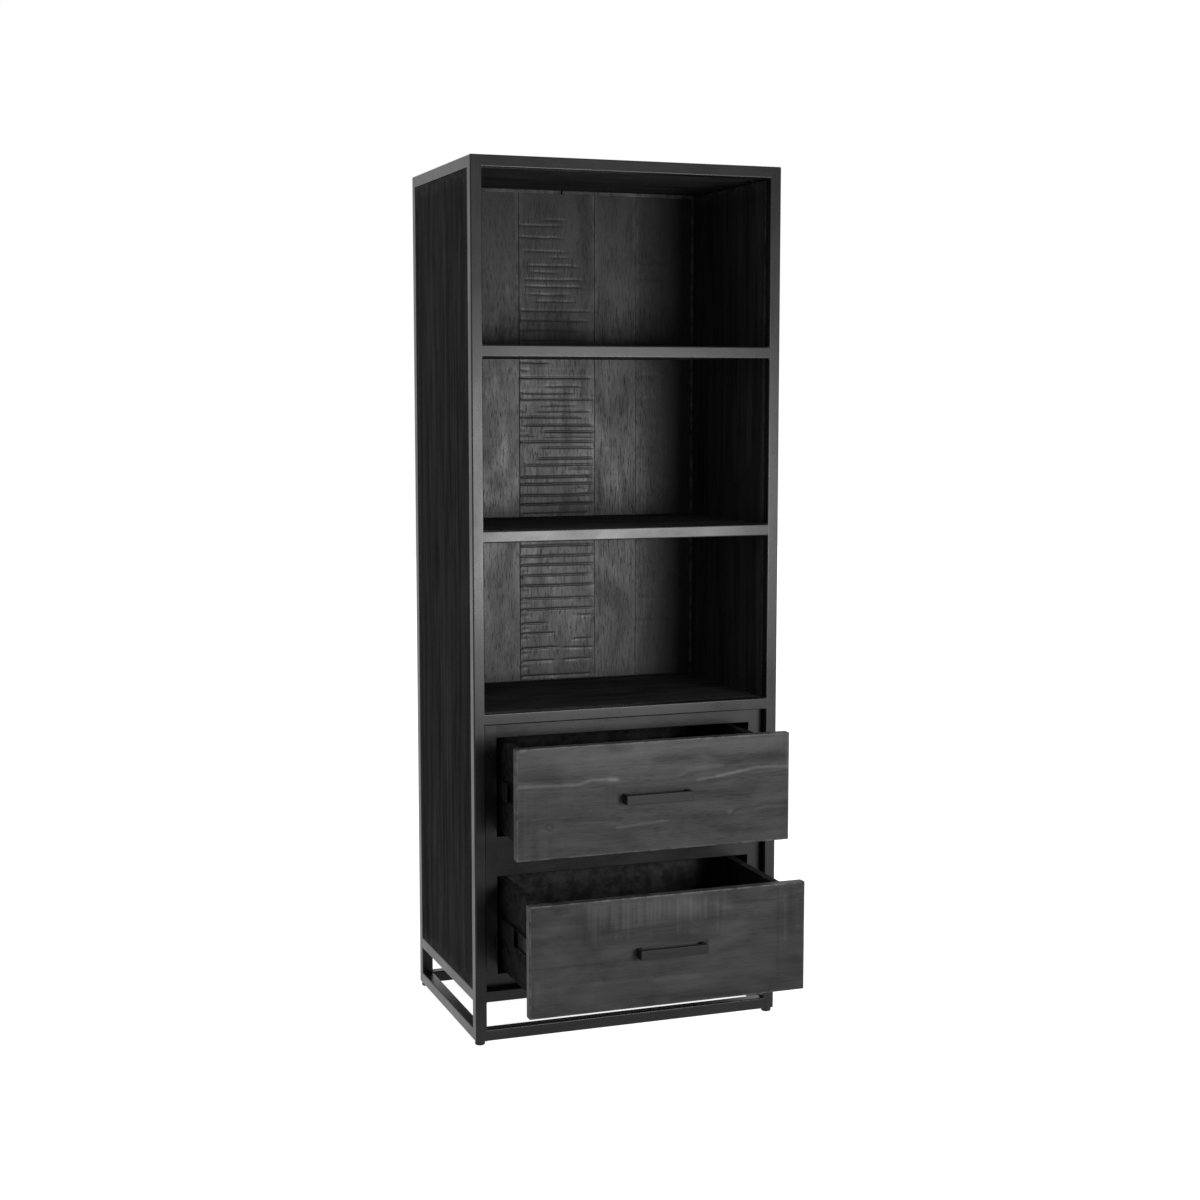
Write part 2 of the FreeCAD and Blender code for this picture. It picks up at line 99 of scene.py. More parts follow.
FRONT_MARKS_AND_SHEEN = {
    "upper": (
        # The first two bands are painted highlight: a pale sheen along the top of the front, where the lamp's
        # reflection falls brighter.
        (((-300, 659), (300, 659)), 24, 0, .3), (((-200, 616), (110, 612)), 30, 0, .2),
        (((-300, 556), (-200, 560)), 22, 0, .16),
        (((-301, 591), (-245, 590), (-213, 589), (-187, 588), (-169, 589), (-156, 593), (-143, 596), (-121, 595),
          (-86, 592)), 2.6, 4, .55),
        (((-304, 604), (-256, 601), (-215, 600)), 8, -6, -.4),
        (((-200, 600), (-160, 605), (-110, 606)), 6, -3, -.12),
        (((-103, 595), (-88, 595)), 5, 2, .5),
        (((95, 581), (134, 584), (157, 588), (203, 594), (231, 598), (309, 596)), 2.8, 4, .5),
        (((140, 585), (195, 593)), 3.5, 2, .4),
        (((203, 592), (220, 587), (250, 587), (281, 589), (306, 594)), 2.6, 3, .22),
        (((120, 574), (180, 580), (240, 581), (300, 578)), 7, -4, -.18),
        (((54, 594), (77, 601), (104, 605), (150, 607)), 4, 3, .18), (((60, 588), (95, 596)), 4, -3, -.2),
        (((-88, 491), (-45, 494), (-2, 497), (27, 499)), 2.6, 3, .4),
        (((-202, 511), (-158, 512), (-114, 510), (-81, 508)), 7, -5, -.3),
        (((-80, 520), (-20, 521), (40, 524)), 9, -3, -.14),
        (((176, 503), (188, 510), (220, 511), (251, 517), (306, 515)), 4.5, -5, -.4),
        (((216, 500), (263, 501), (306, 500)), 4, -3, -.2), (((168, 508), (174, 506)), 5, 2, .4),
        (((-268, 495), (-268, 440)), 8, -2, -.32), (((-235, 480), (-235, 440)), 5, -2, -.25),
        (((-110, 577), (-110, 527)), 2.5, -2, -.2), (((-96, 577), (-96, 540)), 2, -1, -.12),
        (((-100, 656), (-60, 654)), 8, -2, -.22), (((-296, 667), (-288, 667)), 3, 2, .5),
        (((0, 625), (90, 632)), 9, -2, -.16), (((-140, 640), (-40, 645)), 12, 1, .12),
        (((302, 640), (304, 600)), 4, 0, .15), (((80, 470), (80, 445)), 9, -1, -.1),
        (((60, 492), (62, 470)), 7, -2, -.16), (((-30, 470), (-10, 462)), 20, 0, .1),
        tuple([tuple((-237 + 6.5 * math.cos(a * math.pi / 5), 503 + 6.5 * math.sin(a * math.pi / 5))
                     for a in range(10)), 2.2, -4, -.5])),
    "lower": (
        # The first two bands are painted highlight: a pale sheen along the top of the front, where the lamp's
        # reflection falls brighter.
        (((-180, 347), (60, 345)), 18, 0, .12),
        (((-80, 338), (40, 336)), 26, 0, .16), (((30, 345), (62, 330)), 11, 1, .2),
        (((80, 338), (112, 328), (134, 322)), 8, 2, .16), (((-160, 340), (-90, 300)), 18, 0, .1),
        (((-156, 296), (-68, 291), (21, 300), (111, 297), (203, 291)), 7, -3, -.16),
        (((66, 248), (82, 254)), 4, -5, -.8), (((52, 247), (66, 248)), 3, -2, -.3),
        (((-242, 229), (-210, 229), (-156, 226), (-68, 215)), 4, -3, -.2),
        (((-35, 269), (21, 268), (112, 259)), 9, -3, -.2), (((10, 276), (60, 279)), 4, 2, .12),
        (((261, 340), (262, 240)), 3.5, 2, .2), (((275, 345), (275, 250)), 3, -2, -.2),
        (((289, 326), (290, 262)), 3.5, 2, .2), (((283, 356), (283, 135)), 26, 0, -.2),
        (((245, 352), (245, 140)), 3, -3, -.2), (((-150, 199), (-146, 197)), 6, -3, -.35),
        (((-34, 184), (67, 182)), 5, 2, .14), (((-40, 170), (60, 172)), 6, -2, -.12),
        (((-300, 262), (-282, 262)), 4, -2, -.25), (((-290, 200), (-292, 160)), 7, 1, .14),
        (((-220, 180), (-170, 176)), 9, -1, -.12), (((120, 243), (180, 246)), 5, -2, -.14),
        (((150, 200), (230, 196)), 9, 0, .08)),
}


# ---------------------------------------------------------------------------
# settings that a user may change
# ---------------------------------------------------------------------------
def colour(name, description, default):
    return FloatVectorProperty(name=name, description=description, default=default, subtype="COLOR",
                               size=3, min=0.0, max=1.0)


def length(name, description, default):
    return FloatProperty(name=name, description=description, default=default, min=0.0,
                         subtype="DISTANCE", unit="LENGTH")


def factor(name, description, default, top=1.0):
    return FloatProperty(name=name, description=description, default=default, min=0.0, max=top,
                         subtype="FACTOR")


class BookcaseWood(bpy.types.PropertyGroup):
    """The stained planks."""
    dark: colour("Dark stain", "Colour of the stain in the pores and the soft grain", (0.0125, 0.0125, 0.0128))
    light: colour("Light stain", "Colour of the stain on the hard grain", (0.040, 0.040, 0.0405))
    # The rubbed colour is also the colour of the painted highlight that the pale marks blend toward.
    worn_and_highlight: colour("Rubbed edge", "Colour where the stain is rubbed thin", (0.135, 0.134, 0.132))
    gloss: factor("Wax gloss", "Strength of the waxed planks' reflection", 0.14)
    roughness: factor("Wax roughness", "How far the wax blurs a reflection", 0.46)
    easing: length("Edge easing", "Radius of the boards' eased edges", 0.0012)
    saw_depth: length("Saw mark depth", "Depth of the marks that the mill's blade left", 0.00022)
    saw_spacing: length("Saw mark spacing", "Usual distance between two saw marks", 0.0075)
    groove_depth: length("Groove depth", "Depth of the deep grooves in the second back plank", 0.0012)
    cell: length("Relief cell", "Mesh cell on the faces that carry relief", 0.0025)


class BookcaseSteel(bpy.types.PropertyGroup):
    """The lacquered tube."""
    tone: colour("Tube colour", "Colour of the lacquered tube", (0.006, 0.006, 0.0062))
    fleck: colour("Tube flecks", "Colour of the lighter streaks in the lacquer", (0.014, 0.014, 0.0142))
    gloss: factor("Lacquer gloss", "Strength of the tube's reflection", 0.20)
    roughness: factor("Lacquer roughness", "How far the lacquer blurs a reflection", 0.29)
    corner: length("Tube corner", "Radius of the square tube's outer corners", 0.0025)
    weld: length("Weld radius", "Radius of a weld bead", 0.0016)


class BookcaseStage(bpy.types.PropertyGroup):
    """Floor, camera and lamps."""
    key_power: FloatProperty(name="Main lamp", description="Power of the soft main lamp", default=96.0,
                             min=0.0, subtype="POWER", unit="POWER")
    fill: factor("Fill", "Strength of the even light from all round", 0.36, 4.0)
    room: factor("Reflected background", "Brightness of the background that polished faces reflect", 1.0)
    floor: colour("Floor", "Colour of the studio floor", (0.8, 0.8, 0.8))
    lens: FloatProperty(name="Lens", description="Focal length of the camera", default=57.996, min=1.0,
                        subtype="DISTANCE_CAMERA", unit="CAMERA")


# ---------------------------------------------------------------------------
# small helpers for node trees
# ---------------------------------------------------------------------------
def add(tree, kind, inputs=None, **settings):
    """A node with its settings and its inputs, each input a value or another node's socket."""
    node = tree.nodes.new(kind)
    for key, value in settings.items():
        setattr(node, key, value)
    for key, value in (inputs or {}).items():
        if isinstance(value, bpy.types.NodeSocket):
            tree.links.new(value, node.inputs[key])
        else:
            node.inputs[key].default_value = value
    return node


def calc(tree, operation, *values, clamp=False):
    """The result of a Math node."""
    node = add(tree, "ShaderNodeMath", dict(enumerate(values)), operation=operation)
    node.use_clamp = clamp
    return node.outputs[0]


def vcalc(tree, operation, *values):
    """The result of a Vector Math node."""
    node = add(tree, "ShaderNodeVectorMath", dict(enumerate(values)), operation=operation)
    return node.outputs["Value" if operation in ("DOT_PRODUCT", "LENGTH", "DISTANCE") else "Vector"]


def blend_colour(tree, amount, a, b):
    return add(tree, "ShaderNodeMix", {0: amount, 6: a, 7: b}, data_type="RGBA").outputs[2]


def ramp(tree, value, low, high, bottom=0.0, top=1.0):
    """value taken from low..high to bottom..top with soft ends."""
    node = add(tree, "ShaderNodeMapRange", {0: value, 1: low, 2: high, 3: bottom, 4: top},
               interpolation_type="SMOOTHSTEP")
    return node.outputs[0]


def noise(tree, place, scale, detail=2.0, roughness=0.5, distortion=0.0):
    """Noise on a vector that is stretched by a scale for each axis."""
    spot = vcalc(tree, "MULTIPLY", place, scale)
    return add(tree, "ShaderNodeTexNoise", {"Vector": spot, "Scale": 1.0, "Detail": detail, "Roughness": roughness,
                                            "Distortion": distortion}).outputs[0]


def sockets(tree, way, wanted):
    """Adds named sockets to a group: name -> (type, default)."""
    kinds = {"float": "NodeSocketFloat", "vector": "NodeSocketVector", "geometry": "NodeSocketGeometry",
             "material": "NodeSocketMaterial", "object": "NodeSocketObject"}
    for name, (kind, default) in wanted.items():
        made = tree.interface.new_socket(name=name, in_out=way, socket_type=kinds[kind])
        if default is not None:
            made.default_value = default


def shader_group(name, inputs, outputs, build):
    """A shader node group, built once; build returns its outputs by name."""
    tree = bpy.data.node_groups.get(name)
    if tree:
        return tree
    tree = bpy.data.node_groups.new(name, "ShaderNodeTree")
    sockets(tree, "INPUT", inputs)
    sockets(tree, "OUTPUT", {key: ("float", None) for key in outputs})
    start, end = add(tree, "NodeGroupInput"), add(tree, "NodeGroupOutput")
    for key, value in build(tree, start.outputs).items():
        tree.links.new(value, end.inputs[key])
    return tree


# ---------------------------------------------------------------------------
# shared shader effects
# ---------------------------------------------------------------------------
def grain_group():
    """Open-pored grain along Z of its vector: tone, pores and height."""
    def build(tree, given):
        place = given["Vector"]
        cloud = noise(tree, place, (15.0, 15.0, 6.0), 3.0, 0.55, 0.7)
        broad = noise(tree, place, (42.0, 42.0, 2.0), 3.0, 0.55, 0.6)
        streak = noise(tree, place, (200.0, 200.0, 5.0), 3.0, 0.6, 0.15)
        fibre = noise(tree, place, (640.0, 640.0, 24.0), 2.0)
        pore = ramp(tree, noise(tree, place, (820.0, 820.0, 42.0), 1.0), 0.58, 0.70)

        def share(value, amount):
            return calc(tree, "MULTIPLY", calc(tree, "SUBTRACT", value, 0.5), amount)

        tone = calc(tree, "ADD", share(cloud, calc(tree, "MULTIPLY", given["Cloud"], 1.5)),
                    share(broad, calc(tree, "MULTIPLY", given["Figure"], 1.3)))
        tone = calc(tree, "ADD", tone, share(streak, calc(tree, "MULTIPLY", given["Figure"], 0.55)))
        tone = calc(tree, "ADD", tone, share(fibre, 0.3))
        tone = calc(tree, "ADD", tone, 0.46)
        tone = calc(tree, "SUBTRACT", tone, calc(tree, "MULTIPLY", pore, 0.2), clamp=True)
        height = calc(tree, "MULTIPLY_ADD", streak, 0.9, calc(tree, "MULTIPLY", fibre, 0.35))
        height = calc(tree, "SUBTRACT", height, calc(tree, "MULTIPLY", pore, 0.6))
        return {"Tone": tone, "Pores": pore, "Height": height}

    return shader_group("Open Grain", {"Vector": ("vector", None), "Figure": ("float", 1.0),
                                       "Cloud": ("float", 1.0)}, ("Tone", "Pores", "Height"), build)


def wear_group():
    """Where a finish is rubbed thin: an edge mask broken up by patchy noise."""
    def build(tree, given):
        spread = ramp(tree, noise(tree, given["Vector"], (38.0, 38.0, 38.0), 5.0, 0.7), 0.36, 0.66)
        mask = calc(tree, "MULTIPLY", given["Edge"], spread)
        return {"Mask": calc(tree, "MULTIPLY", mask, given["Amount"], clamp=True)}

    return shader_group("Rubbed Edge", {"Vector": ("vector", None), "Edge": ("float", 0.0),
                                        "Amount": ("float", 0.5)}, ("Mask",), build)


def lacquer_group():
    """Fine drawn streaks along Z of its vector, with hazy patches, for lacquered tube and bar."""
    def build(tree, given):
        place = given["Vector"]
        lines = noise(tree, place, (900.0, 900.0, 14.0), 3.0)
        haze = noise(tree, place, (13.0, 13.0, 9.0), 4.0, 0.6)
        grit = noise(tree, place, (900.0, 900.0, 900.0), 1.0)
        height = calc(tree, "MULTIPLY_ADD", lines, 0.7, calc(tree, "MULTIPLY", grit, 0.5))
        return {"Streaks": ramp(tree, lines, 0.35, 0.75), "Haze": haze, "Height": height}

    return shader_group("Drawn Lacquer", {"Vector": ("vector", None)}, ("Streaks", "Haze", "Height"), build)


def turned(tree, along, shift=(0.0, 0.0, 0.0)):
    """Object coordinates with the named axis turned to Z, and shifted so that pieces differ."""
    place = add(tree, "ShaderNodeTexCoord").outputs["Object"]
    turn = {"Z": (0.0, 0.0, 0.0), "X": (0.0, -math.pi / 2, 0.0), "Y": (math.pi / 2, 0.0, 0.0)}[along]
    return add(tree, "ShaderNodeMapping", {"Vector": place, "Location": shift, "Rotation": turn}).outputs[0]


def new_material(name):
    """The named material, with its tree and shader while it still has to be built."""
    made = bpy.data.materials.get(name)
    if made:
        return made, None, None
    made = bpy.data.materials.new(name)
    made.use_nodes = True
    return made, made.node_tree, made.node_tree.nodes["Principled BSDF"]


def finish(tree, shader, tone, rough, height, distance, strength, gloss):
    """Feeds a shader its colour, roughness, bump and reflection."""
    bump = add(tree, "ShaderNodeBump", {"Height": height, "Distance": distance, "Strength": strength})
    tree.links.new(tone, shader.inputs["Base Color"])
    tree.links.new(rough, shader.inputs["Roughness"])
    tree.links.new(bump.outputs[0], shader.inputs["Normal"])
    shader.inputs["Specular IOR Level"].default_value = gloss


def wood(along, seed=0, brightness=1.0, figure=1.0, cloud=1.0, gloss=1.0, matt=0.0, wear=0.5):
    """Black-stained open-grained wood whose grain runs along one axis."""
    look = bpy.context.scene.bookcase_wood
    made, tree, shader = new_material("Stained wood %s %d" % (along, seed))
    if tree is None:
        return made
    place = turned(tree, along, (seed * 0.37, seed * 0.21, seed * 0.53))
    grain = add(tree, "ShaderNodeGroup", node_tree=grain_group())
    tree.links.new(place, grain.inputs["Vector"])
    grain.inputs["Figure"].default_value = figure
    grain.inputs["Cloud"].default_value = cloud
    dark, light, worn_and_highlight = [tuple(c * brightness for c in value) + (1.0,) for value in (look.dark, look.light, look.worn_and_highlight)]
    tone = blend_colour(tree, grain.outputs["Tone"], dark, light)
    edge = add(tree, "ShaderNodeAttribute", attribute_name="edge").outputs["Fac"]
    mark = add(tree, "ShaderNodeAttribute", attribute_name="mark").outputs["Fac"]
    rub = add(tree, "ShaderNodeGroup", node_tree=wear_group())
    tree.links.new(place, rub.inputs["Vector"])
    tree.links.new(edge, rub.inputs["Edge"])
    rub.inputs["Amount"].default_value = wear
    tone = blend_colour(tree, rub.outputs["Mask"], tone, worn_and_highlight)
    # Marks lighten toward the rubbed colour and darken toward black: rubbed wear and stain, and painted highlight on
    # ridges and along the top of the drawer fronts, painted shade in hollows, grooves, cracks and nicks.
    tone = blend_colour(tree, calc(tree, "MULTIPLY", mark, 0.6, clamp=True), tone, worn_and_highlight)
    tone = blend_colour(tree, calc(tree, "MULTIPLY", mark, -1.0, clamp=True), tone, BLACK)
    rough = calc(tree, "MULTIPLY_ADD", grain.outputs["Pores"], 0.2, look.roughness + matt)
    rough = calc(tree, "MULTIPLY_ADD", calc(tree, "SUBTRACT", grain.outputs["Tone"], 0.5), -0.16, rough)
    finish(tree, shader, tone, rough, grain.outputs["Height"], 0.0003, 0.5, look.gloss * gloss)
    return made


def steel(along, name="Lacquered tube", tone=None, gloss=None, roughness=None):
    """Gunmetal lacquer with fine streaks along one axis."""
    look = bpy.context.scene.bookcase_steel
    made, tree, shader = new_material("%s %s" % (name, along))
    if tree is None:
        return made
    coat = add(tree, "ShaderNodeGroup", node_tree=lacquer_group())
    tree.links.new(turned(tree, along), coat.inputs["Vector"])
    tone = blend_colour(tree, coat.outputs["Streaks"], tuple(tone or look.tone) + (1.0,), tuple(look.fleck) + (1.0,))
    rough = calc(tree, "MULTIPLY_ADD", calc(tree, "SUBTRACT", coat.outputs["Haze"], 0.5), 0.26,
                 roughness or look.roughness)
    finish(tree, shader, tone, rough, coat.outputs["Height"], 0.00006, 0.5, gloss or look.gloss)
    return made


def plain(name, tone, roughness, gloss=0.5, grit=700.0):
    """Moulded plastic or blackened steel: one colour broken up by fine grit."""
    made, tree, shader = new_material(name)
    if tree is None:
        return made
    place = turned(tree, "Z")
    grain = noise(tree, place, (grit, grit, grit))
    cloud = noise(tree, place, (60.0, 60.0, 60.0), 4.0)
    lighter = tuple(min(1.0, c * 1.6) for c in tone) + (1.0,)
    out = blend_colour(tree, ramp(tree, cloud, 0.35, 0.7), tone + (1.0,), lighter)
    rough = calc(tree, "MULTIPLY_ADD", calc(tree, "SUBTRACT", cloud, 0.5), 0.2, roughness)
    finish(tree, shader, out, rough, grain, 0.0001, 0.35, gloss)
    return made


# ---------------------------------------------------------------------------
# geometry node trees
# ---------------------------------------------------------------------------
def geometry_tree(name, inputs, build):
    """A geometry node tree with named inputs that ends in Realize Instances and Set Material."""
    tree = bpy.data.node_groups.get(name)
    if tree:
        return tree
    tree = bpy.data.node_groups.new(name, "GeometryNodeTree")
    tree.is_modifier = True
    sockets(tree, "INPUT", {"Geometry": ("geometry", None), **inputs, "Material": ("material", None)})
    sockets(tree, "OUTPUT", {"Geometry": ("geometry", None)})
    start, end = add(tree, "NodeGroupInput"), add(tree, "NodeGroupOutput")
    shape = build(tree, start.outputs)
    shape = add(tree, "GeometryNodeRealizeInstances", {0: shape}).outputs[0]
    shape = add(tree, "GeometryNodeSetMaterial", {"Geometry": shape, "Material": start.outputs["Material"]})
    tree.links.new(shape.outputs[0], end.inputs[0])
    return tree


def with_nodes(obj, tree, **values):
    """Runs a geometry node tree on an object and keeps the result as its plain mesh."""
    modifier = obj.modifiers.new(tree.name, "NODES")
    modifier.node_group = tree
    for item in tree.interface.items_tree:
        if item.item_type == "SOCKET" and item.in_out == "INPUT" and item.name in values:
            modifier[item.identifier] = values[item.name]
    bpy.context.view_layer.update()
    evaluated = obj.evaluated_get(bpy.context.evaluated_depsgraph_get())
    result = bpy.data.meshes.new_from_object(evaluated)
    obj.modifiers.clear()
    obj.data = result
    result.name = obj.name
    return obj


def attribute_of(tree, name, kind="FLOAT"):
    return add(tree, "GeometryNodeInputNamedAttribute", {"Name": name}, data_type=kind).outputs[0]


def sawn_tree():
    """Pushes a face in and out along a direction in bands, as a mill's blade leaves it."""
    def build(tree, given):
        here = add(tree, "GeometryNodeInputPosition").outputs[0]
        seed = given["Seed"]

        def seeded(place, scale, detail):
            return add(tree, "ShaderNodeTexNoise", {"Vector": place, "Scale": scale, "Detail": detail, "W": seed},
                       noise_dimensions="4D").outputs[0]

        along = vcalc(tree, "DOT_PRODUCT", here, given["Along"])
        wander = calc(tree, "SUBTRACT", seeded(here, 6.0, 1.0), 0.5)
        line = calc(tree, "MULTIPLY_ADD", wander, 0.006, along)
        line = calc(tree, "ADD", calc(tree, "DIVIDE", line, given["Spacing"]), calc(tree, "MULTIPLY", seed, 7.3))
        band = add(tree, "ShaderNodeTexNoise", {"W": line, "Scale": 1.0, "Detail": 2.0, "Roughness": 0.6},
                   noise_dimensions="1D").outputs[0]
        band = calc(tree, "MULTIPLY", calc(tree, "SUBTRACT", band, 0.5), 2.4)
        patch = seeded(vcalc(tree, "MULTIPLY", here, given["Patch scale"]), 1.0, 2.0)
        patch = ramp(tree, patch, given["Patch start"], calc(tree, "ADD", given["Patch start"], 0.16))
        inner = attribute_of(tree, "inner")
        cut = calc(tree, "MULTIPLY", calc(tree, "MULTIPLY", band, patch), inner)
        roll = calc(tree, "MULTIPLY", calc(tree, "SUBTRACT", seeded(here, 11.0, 2.0), 0.5),
                    calc(tree, "MULTIPLY", inner, given["Waves"]))
        push = calc(tree, "MULTIPLY_ADD", cut, given["Depth"], roll)
        offset = add(tree, "ShaderNodeVectorMath", {0: given["Face"], "Scale": push}, operation="SCALE").outputs[0]
        moved = add(tree, "GeometryNodeSetPosition", {"Geometry": given["Geometry"], "Offset": offset})
        # The tone follows the cut: paler where a band stands out, partly rubbed wear and partly painted highlight, and
        # darker where it is cut in, painted shade.
        mark = calc(tree, "MULTIPLY_ADD", cut, given["Tone"], attribute_of(tree, "mark"))
        return add(tree, "GeometryNodeStoreNamedAttribute",
                   {"Geometry": moved.outputs[0], "Name": "mark", "Value": mark}, data_type="FLOAT").outputs[0]

    return geometry_tree("Sawn Face", {
        "Along": ("vector", (0, 0, 1)), "Face": ("vector", (0, -1, 0)), "Depth": ("float", 0.0002),
        "Spacing": ("float", 0.007), "Patch scale": ("vector", (3, 3, 3)), "Patch start": ("float", 0.45),
        "Waves": ("float", 0.0005), "Tone": ("float", 0.1), "Seed": ("float", 0.0)}, build)


def screw_tree():
    """Sets a cross-headed screw on each point, facing along its own direction at its own size."""
    def build(tree, given):
        turn = add(tree, "FunctionNodeAlignRotationToVector", {"Vector": attribute_of(tree, "facing", "FLOAT_VECTOR")},
                   axis="Z").outputs[0]
        angle = add(tree, "FunctionNodeRandomValue", {2: 0.0, 3: math.tau, "Seed": 7}, data_type="FLOAT").outputs[1]
        spin = add(tree, "FunctionNodeAxisAngleToRotation", {"Axis": (0, 0, 1), "Angle": angle}).outputs[0]
        turn = add(tree, "FunctionNodeRotateRotation", {"Rotation": turn, "Rotate By": spin},
                   rotation_space="LOCAL").outputs[0]
        head = add(tree, "GeometryNodeObjectInfo", {"Object": given["Head"]}).outputs["Geometry"]
        return add(tree, "GeometryNodeInstanceOnPoints",
                   {"Points": given["Geometry"], "Instance": head, "Rotation": turn,
                    "Scale": attribute_of(tree, "size", "FLOAT_VECTOR")}).outputs[0]

    return geometry_tree("Cross Headed Screws", {"Head": ("object", None)}, build)


def weld_tree():
    """Lays a rippled weld bead along every run of edges."""
    def build(tree, given):
        curve = add(tree, "GeometryNodeMeshToCurve", {0: given["Geometry"]}).outputs[0]
        curve = add(tree, "GeometryNodeResampleCurve", {"Curve": curve, "Length": given["Step"]}, mode="LENGTH").outputs[0]
        run = add(tree, "GeometryNodeSplineParameter").outputs["Length"]
        wave = calc(tree, "SINE", calc(tree, "DIVIDE", run, calc(tree, "MULTIPLY", given["Step"], 0.55)))
        here = add(tree, "GeometryNodeInputPosition").outputs[0]
        rough = add(tree, "ShaderNodeTexNoise", {"Vector": here, "Scale": 180.0, "Detail": 1.0}).outputs[0]
        swell = calc(tree, "MULTIPLY_ADD", wave, 0.12, calc(tree, "MULTIPLY_ADD", rough, 0.5, 0.75))
        ring = add(tree, "GeometryNodeCurvePrimitiveCircle", {"Resolution": 8, "Radius": given["Radius"]}).outputs[0]
        bead = add(tree, "GeometryNodeCurveToMesh",
                   {"Curve": curve, "Profile Curve": ring, "Scale": swell, "Fill Caps": True})
        return add(tree, "GeometryNodeSetShadeSmooth", {"Geometry": bead.outputs[0]}).outputs[0]

    return geometry_tree("Weld Bead", {"Radius": ("float", 0.0016), "Step": ("float", 0.0012)}, build)


# ---------------------------------------------------------------------------
# meshes
# ---------------------------------------------------------------------------
def publish(obj, body, nodes=()):
    """Puts a finished piece on its body, in place of its CAD nodes."""
    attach(obj, body)
    if nodes:
        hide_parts(*nodes)
    return obj


def object_from(name, points, quads, polygons=(), attributes=None, smooth=True, material=None):
    """An object with its place in its mesh, from quads and larger polygons; attributes are point values by name."""
    mesh = bpy.data.meshes.new(name)
    points = np.asarray(points, np.float32)
    mesh.vertices.add(len(points))
    mesh.vertices.foreach_set("co", points.ravel())
    if len(quads) or len(polygons):
        quads = np.asarray(quads, np.int32).reshape(-1, 4)
        sizes = np.concatenate([np.full(len(quads), 4), [len(p) for p in polygons]]).astype(np.int32)
        corners = np.concatenate([quads.ravel()] + [np.asarray(p, np.int32) for p in polygons])
        mesh.loops.add(len(corners))
        mesh.loops.foreach_set("vertex_index", corners.astype(np.int32))
        mesh.polygons.add(len(sizes))
        mesh.polygons.foreach_set("loop_start", np.concatenate([[0], np.cumsum(sizes)[:-1]]).astype(np.int32))
    mesh.update(calc_edges=True)
    for key, values in (attributes or {}).items():
        values = np.asarray(values, np.float32)
        vectors = values.ndim == 2
        layer = mesh.attributes.new(key, "FLOAT_VECTOR" if vectors else "FLOAT", "POINT")
        layer.data.foreach_set("vector" if vectors else "value", values.ravel())
    if smooth:
        mesh.shade_smooth()
        mesh.set_sharp_from_angle(angle=math.radians(50))
    if material:
        mesh.materials.append(material)
    obj = bpy.data.objects.new(name, mesh)
    bpy.context.scene.collection.objects.link(obj)
    return obj


def lines_between(lo, hi, easing, cell):
    """Grid lines from lo to hi: round the eased edges, one just inside each, and even ones between."""
    guard = min(0.0004, (hi - lo - 2 * easing) / 5) if easing else 0.0
    count = max(1, int(round((hi - lo - 2 * (easing + guard)) / cell)))
    inner = np.linspace(lo + easing + guard, hi - easing - guard, count + 1)
    if not easing:
        return inner
    rim = np.array([0.0, 0.3, 0.65, 1.0]) * easing
    return np.concatenate([lo + rim, inner, hi - rim[::-1]])


